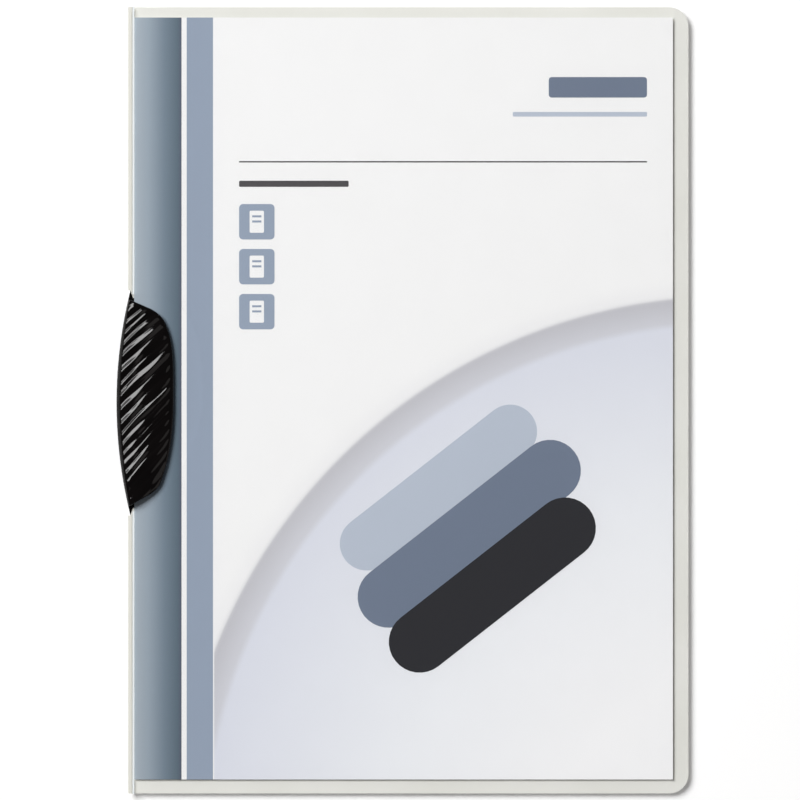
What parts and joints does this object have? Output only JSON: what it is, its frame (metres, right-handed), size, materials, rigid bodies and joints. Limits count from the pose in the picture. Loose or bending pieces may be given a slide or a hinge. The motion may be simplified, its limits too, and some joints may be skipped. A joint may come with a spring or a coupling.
{
  "type": "clip folder",
  "caption": "A4 folder of film, clear in front and milky behind, with a black rippled clip that swings out at the spine to grip loose sheets, shown with a printed insert sheet.",
  "frame": {"origin": "centre of the bounding box at its lowest face, which is the underside of the clip's back leaf", "axes": "the folder lies on its back: +X from the spine to the free edge, +Y up the page along the spine, +Z from the back cover to the front cover"},
  "size_m": [0.2232, 0.3066, 0.0077],
  "materials": {
    "back_film": "milky polypropylene film, slightly warm white",
    "front_film": "clear polypropylene film, smooth gloss",
    "printed_sheet": "white coated paper with blue-grey printed fields",
    "clip_moulding": "black high gloss, rippled front leaf",
    "rivet": "black, satin"
  },
  "bodies": {
    "back": {"back_cover": "back_film", "insert_sheet": "printed_sheet", "pivot_rivet": "rivet"},
    "cover": {"front_cover": "front_film"},
    "clip": {"clip": "clip_moulding"}
  },
  "joints": [
    {"name": "cover_hinge", "type": "hinge", "parent": "back", "child": "cover", "pos_m": [-0.10485, 0, 0.00465], "axis": [0, -1, 0], "range_deg": [0, 160]},
    {"name": "clip_swing", "type": "hinge", "parent": "back", "child": "clip", "pos_m": [-0.10195, 0.0427, 0], "axis": [0, 0, -1], "range_deg": [0, 20]}
  ]
}
